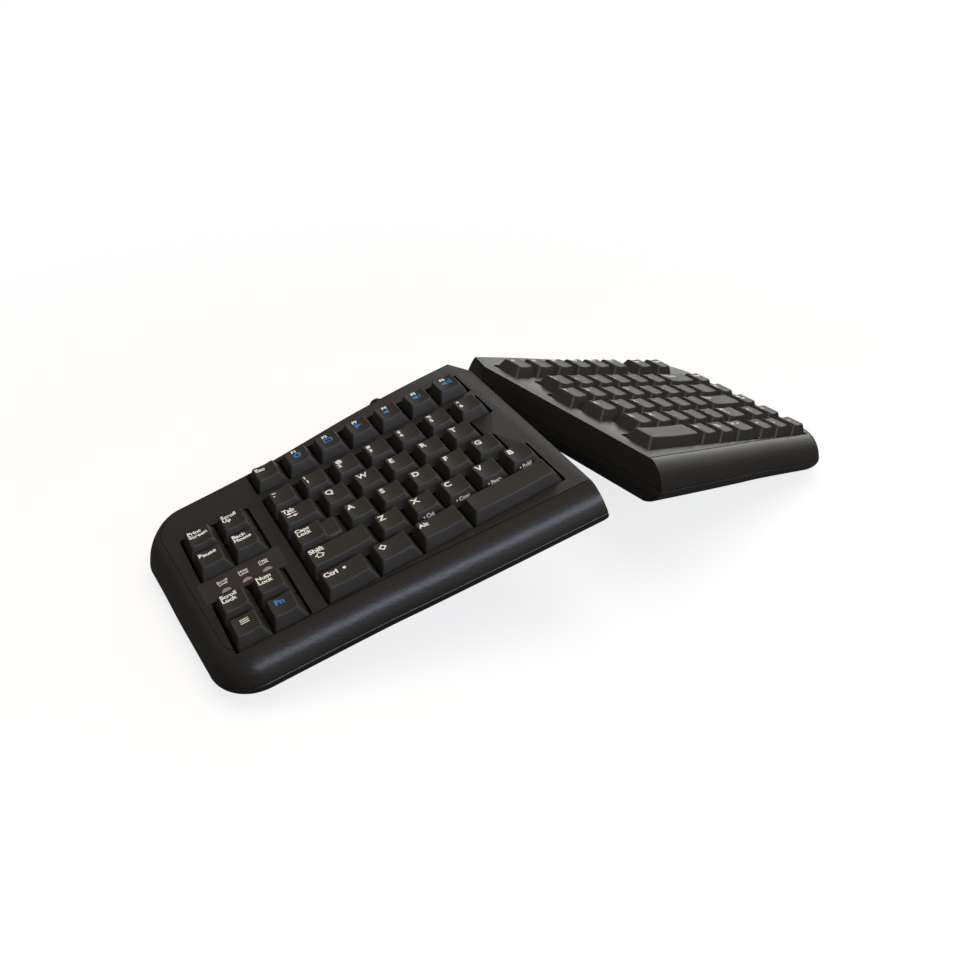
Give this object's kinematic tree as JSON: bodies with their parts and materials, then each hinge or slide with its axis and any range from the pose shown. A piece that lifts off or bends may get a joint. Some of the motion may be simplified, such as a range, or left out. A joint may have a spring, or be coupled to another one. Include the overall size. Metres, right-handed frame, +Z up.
{
  "type": "split keyboard",
  "caption": "Split tenting computer keyboard: key blocks in rounded shells joined at the back by a lockable ball joint, with indicator lenses and a cord inlet.",
  "frame": {"origin": "on the desk under the middle of the keyboard's width and depth, as it stands in the picture", "axes": "+X to the user's right, +Y away from the user, +Z up"},
  "size_m": [0.424, 0.1702, 0.0827],
  "materials": {
    "shell_plastic": "fine textured",
    "key_plastic": "satin",
    "panel_plastic": "satin",
    "frame_plastic": "moulded",
    "dome_rubber": "moulded",
    "film": "printed film",
    "board": "solder mask",
    "lens": "frosted",
    "rubber": "moulded",
    "steel": "plated"
  },
  "bodies": {
    "left_half": {"left_bottom_case": "shell_plastic", "left_top_case": "shell_plastic", "left_key_frame": "frame_plastic", "left_dome_sheet": "dome_rubber", "left_membrane": "film", "left_base_plate": "steel", "controller_board": "board", "indicator_panel": "panel_plastic", "indicator_lenses": "lens", "cord_gland": "rubber", "left_screws": "steel", "left_feet": "rubber", "hinge_socket": "steel", "lever_pin": "steel"},
    "liner": {"hinge_liner": "steel"},
    "ball": {"hinge_ball": "steel"},
    "right_half": {"right_bottom_case": "shell_plastic", "right_top_case": "shell_plastic", "right_key_frame": "frame_plastic", "right_dome_sheet": "dome_rubber", "right_membrane": "film", "right_base_plate": "steel", "right_screws": "steel", "right_feet": "rubber", "hinge_stud": "steel"},
    "lever": {"lock_lever": "shell_plastic"},
    "shoe": {"clamp_shoe": "steel"},
    "escape_key": {"escape_key": "key_plastic"},
    "left_function_keys": {"left_function_keys": "key_plastic"},
    "left_number_keys": {"left_number_keys": "key_plastic"},
    "tab_key": {"tab_key": "key_plastic"},
    "left_upper_letters": {"left_upper_letters": "key_plastic"},
    "caps_key": {"caps_key": "key_plastic"},
    "left_home_letters": {"left_home_letters": "key_plastic"},
    "left_shift_key": {"left_shift_key": "key_plastic"},
    "left_lower_letters": {"left_lower_letters": "key_plastic"},
    "left_ctrl_key": {"left_ctrl_key": "key_plastic"},
    "left_meta_key": {"left_meta_key": "key_plastic"},
    "left_alt_key": {"left_alt_key": "key_plastic"},
    "left_space_key": {"left_space_key": "key_plastic"},
    "cluster_upper_keys": {"cluster_upper_keys": "key_plastic"},
    "cluster_lower_keys": {"cluster_lower_keys": "key_plastic"},
    "fn_key": {"fn_key": "key_plastic"},
    "right_function_keys": {"right_function_keys": "key_plastic"},
    "delete_keys": {"delete_keys": "key_plastic"},
    "right_number_keys": {"right_number_keys": "key_plastic"},
    "backspace_key": {"backspace_key": "key_plastic"},
    "right_upper_letters": {"right_upper_letters": "key_plastic"},
    "right_home_letters": {"right_home_letters": "key_plastic"},
    "enter_key": {"enter_key": "key_plastic"},
    "right_lower_letters": {"right_lower_letters": "key_plastic"},
    "right_shift_key": {"right_shift_key": "key_plastic"},
    "right_space_key": {"right_space_key": "key_plastic"},
    "right_modifier_keys": {"right_modifier_keys": "key_plastic"},
    "nav_keys": {"nav_keys": "key_plastic"},
    "arrow_up_key": {"arrow_up_key": "key_plastic"},
    "arrow_left_key": {"arrow_left_key": "key_plastic"},
    "arrow_down_key": {"arrow_down_key": "key_plastic"},
    "arrow_right_key": {"arrow_right_key": "key_plastic"}
  },
  "joints": [
    {"name": "splay", "type": "hinge", "parent": "left_half", "child": "liner", "pos_m": [0, 0.05628, 0.06408], "axis": [-0.2788, 0.0327, 0.9598], "range_deg": [-15.22, 8]},
    {"name": "tent", "type": "hinge", "parent": "liner", "child": "ball", "pos_m": [0, 0.05628, 0.06408], "axis": [-0.1377, 0.9877, -0.0737], "range_deg": [-32.1, 4]},
    {"name": "twist", "type": "hinge", "parent": "ball", "child": "right_half", "pos_m": [0, 0.05628, 0.06408], "axis": [0.9533, 0.112, -0.2807], "range_deg": [-7.4, 3]},
    {"name": "lock", "type": "hinge", "parent": "left_half", "child": "lever", "pos_m": [-0.00967, 0.07152, 0.06023], "axis": [-0.2788, 0.0327, 0.9598], "range_deg": [-85, 0]},
    {"name": "shoe_slide", "type": "slide", "parent": "left_half", "child": "shoe", "axis": [0.5318, -0.8269, 0.1827], "range_m": [-0.0003, 0]},
    {"name": "escape_press", "type": "slide", "parent": "left_half", "child": "escape_key", "axis": [-0.2788, 0.0327, 0.9598], "range_m": [-0.003, 0], "stiffness_N_per_m": 200, "springref_m": 0.001},
    {"name": "left_function_press", "type": "slide", "parent": "left_half", "child": "left_function_keys", "axis": [-0.2788, 0.0327, 0.9598], "range_m": [-0.003, 0], "stiffness_N_per_m": 200, "springref_m": 0.001},
    {"name": "left_number_press", "type": "slide", "parent": "left_half", "child": "left_number_keys", "axis": [-0.2788, 0.0327, 0.9598], "range_m": [-0.003, 0], "stiffness_N_per_m": 200, "springref_m": 0.001},
    {"name": "tab_press", "type": "slide", "parent": "left_half", "child": "tab_key", "axis": [-0.2788, 0.0327, 0.9598], "range_m": [-0.003, 0], "stiffness_N_per_m": 200, "springref_m": 0.001},
    {"name": "left_upper_letters_press", "type": "slide", "parent": "left_half", "child": "left_upper_letters", "axis": [-0.2788, 0.0327, 0.9598], "range_m": [-0.003, 0], "stiffness_N_per_m": 200, "springref_m": 0.001},
    {"name": "caps_press", "type": "slide", "parent": "left_half", "child": "caps_key", "axis": [-0.2788, 0.0327, 0.9598], "range_m": [-0.003, 0], "stiffness_N_per_m": 200, "springref_m": 0.001},
    {"name": "left_home_letters_press", "type": "slide", "parent": "left_half", "child": "left_home_letters", "axis": [-0.2788, 0.0327, 0.9598], "range_m": [-0.003, 0], "stiffness_N_per_m": 200, "springref_m": 0.001},
    {"name": "left_shift_press", "type": "slide", "parent": "left_half", "child": "left_shift_key", "axis": [-0.2788, 0.0327, 0.9598], "range_m": [-0.003, 0], "stiffness_N_per_m": 200, "springref_m": 0.001},
    {"name": "left_lower_letters_press", "type": "slide", "parent": "left_half", "child": "left_lower_letters", "axis": [-0.2788, 0.0327, 0.9598], "range_m": [-0.003, 0], "stiffness_N_per_m": 200, "springref_m": 0.001},
    {"name": "left_ctrl_press", "type": "slide", "parent": "left_half", "child": "left_ctrl_key", "axis": [-0.2788, 0.0327, 0.9598], "range_m": [-0.003, 0], "stiffness_N_per_m": 200, "springref_m": 0.001},
    {"name": "left_meta_press", "type": "slide", "parent": "left_half", "child": "left_meta_key", "axis": [-0.2788, 0.0327, 0.9598], "range_m": [-0.003, 0], "stiffness_N_per_m": 200, "springref_m": 0.001},
    {"name": "left_alt_press", "type": "slide", "parent": "left_half", "child": "left_alt_key", "axis": [-0.2788, 0.0327, 0.9598], "range_m": [-0.003, 0], "stiffness_N_per_m": 200, "springref_m": 0.001},
    {"name": "left_space_press", "type": "slide", "parent": "left_half", "child": "left_space_key", "axis": [-0.2788, 0.0327, 0.9598], "range_m": [-0.003, 0], "stiffness_N_per_m": 200, "springref_m": 0.001},
    {"name": "cluster_upper_press", "type": "slide", "parent": "left_half", "child": "cluster_upper_keys", "axis": [-0.2788, 0.0327, 0.9598], "range_m": [-0.003, 0], "stiffness_N_per_m": 200, "springref_m": 0.001},
    {"name": "cluster_lower_press", "type": "slide", "parent": "left_half", "child": "cluster_lower_keys", "axis": [-0.2788, 0.0327, 0.9598], "range_m": [-0.003, 0], "stiffness_N_per_m": 200, "springref_m": 0.001},
    {"name": "fn_press", "type": "slide", "parent": "left_half", "child": "fn_key", "axis": [-0.2788, 0.0327, 0.9598], "range_m": [-0.003, 0], "stiffness_N_per_m": 200, "springref_m": 0.001},
    {"name": "right_function_press", "type": "slide", "parent": "right_half", "child": "right_function_keys", "axis": [0.2788, 0.0327, 0.9598], "range_m": [-0.003, 0], "stiffness_N_per_m": 200, "springref_m": 0.001},
    {"name": "delete_press", "type": "slide", "parent": "right_half", "child": "delete_keys", "axis": [0.2788, 0.0327, 0.9598], "range_m": [-0.003, 0], "stiffness_N_per_m": 200, "springref_m": 0.001},
    {"name": "right_number_press", "type": "slide", "parent": "right_half", "child": "right_number_keys", "axis": [0.2788, 0.0327, 0.9598], "range_m": [-0.003, 0], "stiffness_N_per_m": 200, "springref_m": 0.001},
    {"name": "backspace_press", "type": "slide", "parent": "right_half", "child": "backspace_key", "axis": [0.2788, 0.0327, 0.9598], "range_m": [-0.003, 0], "stiffness_N_per_m": 200, "springref_m": 0.001},
    {"name": "right_upper_letters_press", "type": "slide", "parent": "right_half", "child": "right_upper_letters", "axis": [0.2788, 0.0327, 0.9598], "range_m": [-0.003, 0], "stiffness_N_per_m": 200, "springref_m": 0.001},
    {"name": "right_home_letters_press", "type": "slide", "parent": "right_half", "child": "right_home_letters", "axis": [0.2788, 0.0327, 0.9598], "range_m": [-0.003, 0], "stiffness_N_per_m": 200, "springref_m": 0.001},
    {"name": "enter_press", "type": "slide", "parent": "right_half", "child": "enter_key", "axis": [0.2788, 0.0327, 0.9598], "range_m": [-0.003, 0], "stiffness_N_per_m": 200, "springref_m": 0.001},
    {"name": "right_lower_letters_press", "type": "slide", "parent": "right_half", "child": "right_lower_letters", "axis": [0.2788, 0.0327, 0.9598], "range_m": [-0.003, 0], "stiffness_N_per_m": 200, "springref_m": 0.001},
    {"name": "right_shift_press", "type": "slide", "parent": "right_half", "child": "right_shift_key", "axis": [0.2788, 0.0327, 0.9598], "range_m": [-0.003, 0], "stiffness_N_per_m": 200, "springref_m": 0.001},
    {"name": "right_space_press", "type": "slide", "parent": "right_half", "child": "right_space_key", "axis": [0.2788, 0.0327, 0.9598], "range_m": [-0.003, 0], "stiffness_N_per_m": 200, "springref_m": 0.001},
    {"name": "right_modifier_press", "type": "slide", "parent": "right_half", "child": "right_modifier_keys", "axis": [0.2788, 0.0327, 0.9598], "range_m": [-0.003, 0], "stiffness_N_per_m": 200, "springref_m": 0.001},
    {"name": "nav_press", "type": "slide", "parent": "right_half", "child": "nav_keys", "axis": [0.2788, 0.0327, 0.9598], "range_m": [-0.003, 0], "stiffness_N_per_m": 200, "springref_m": 0.001},
    {"name": "arrow_up_press", "type": "slide", "parent": "right_half", "child": "arrow_up_key", "axis": [0.2788, 0.0327, 0.9598], "range_m": [-0.003, 0], "stiffness_N_per_m": 200, "springref_m": 0.001},
    {"name": "arrow_left_press", "type": "slide", "parent": "right_half", "child": "arrow_left_key", "axis": [0.2788, 0.0327, 0.9598], "range_m": [-0.003, 0], "stiffness_N_per_m": 200, "springref_m": 0.001},
    {"name": "arrow_down_press", "type": "slide", "parent": "right_half", "child": "arrow_down_key", "axis": [0.2788, 0.0327, 0.9598], "range_m": [-0.003, 0], "stiffness_N_per_m": 200, "springref_m": 0.001},
    {"name": "arrow_right_press", "type": "slide", "parent": "right_half", "child": "arrow_right_key", "axis": [0.2788, 0.0327, 0.9598], "range_m": [-0.003, 0], "stiffness_N_per_m": 200, "springref_m": 0.001}
  ],
  "couplings": [
    {"joint": "shoe_slide", "follows": "lock", "m_per_rad": 0.00020222}
  ]
}
